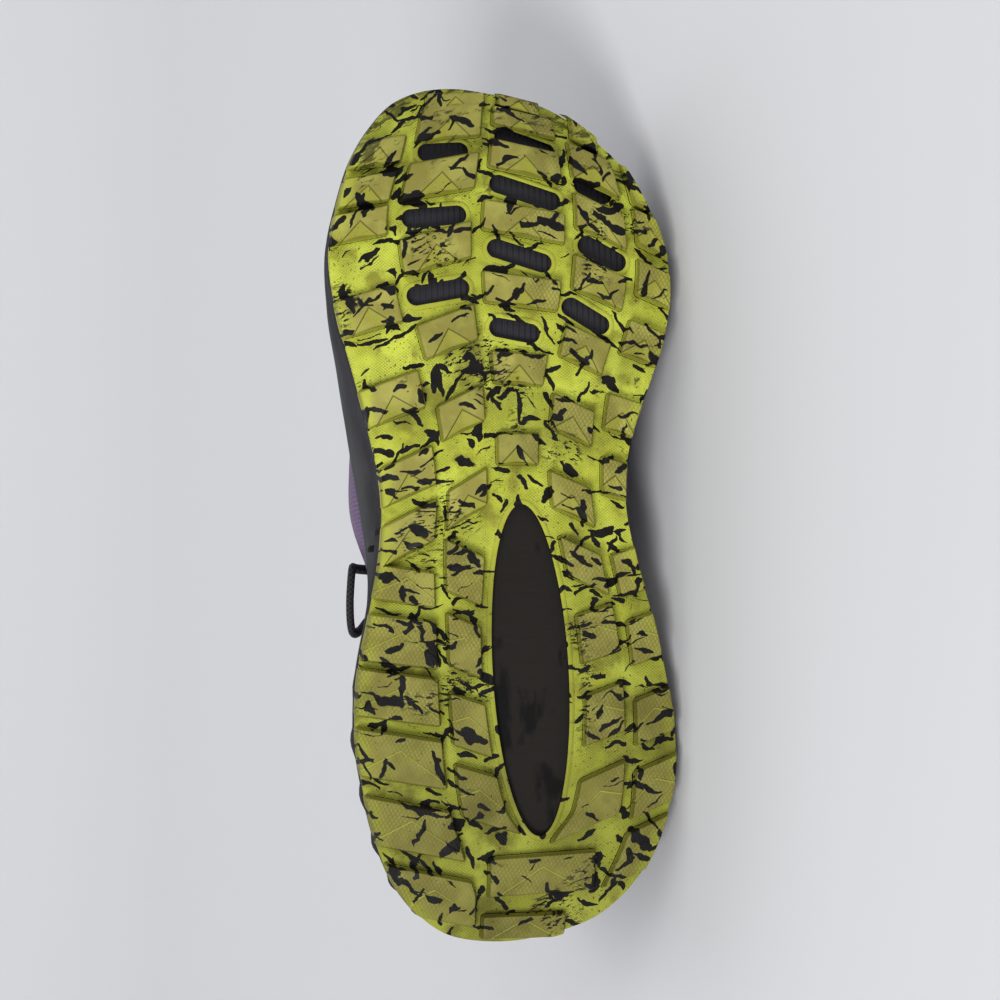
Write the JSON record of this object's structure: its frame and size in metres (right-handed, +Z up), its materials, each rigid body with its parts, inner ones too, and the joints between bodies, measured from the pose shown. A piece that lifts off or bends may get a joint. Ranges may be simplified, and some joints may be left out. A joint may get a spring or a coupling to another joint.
{
  "type": "trail running shoe",
  "caption": "Left trail running shoe lying on its outer side, with a lugged rubber outsole, thick foam midsole, hollow mesh upper and laced throat.",
  "frame": {"origin": "the middle of the box round the shoe, on the floor that it lies on", "axes": "+X from the heel to the toe, +Z up, -Y the way that the sole faces, leaning back"},
  "size_m": [0.282, 0.1272, 0.1136],
  "materials": {
    "outsole_rubber": "fine hatch, worn and dirty on the lugs, with dark streaks",
    "midsole_foam": "matt, softly creased",
    "insole_cloth": "brushed cloth on foam",
    "upper_mesh": "open mesh with a lining",
    "overlay_film": "matt welded film",
    "tongue_cloth": "padded cloth",
    "lace_cord": "braided"
  },
  "bodies": {
    "root": {"outsole": "outsole_rubber", "midsole": "midsole_foam", "insole": "insole_cloth", "upper": "upper_mesh", "toe_cap": "overlay_film", "heel_counter": "overlay_film", "eyestay": "overlay_film", "tongue": "tongue_cloth", "lace_crossings": "lace_cord", "lace_knot": "lace_cord", "lace_loop": "lace_cord"}
  },
  "joints": []
}
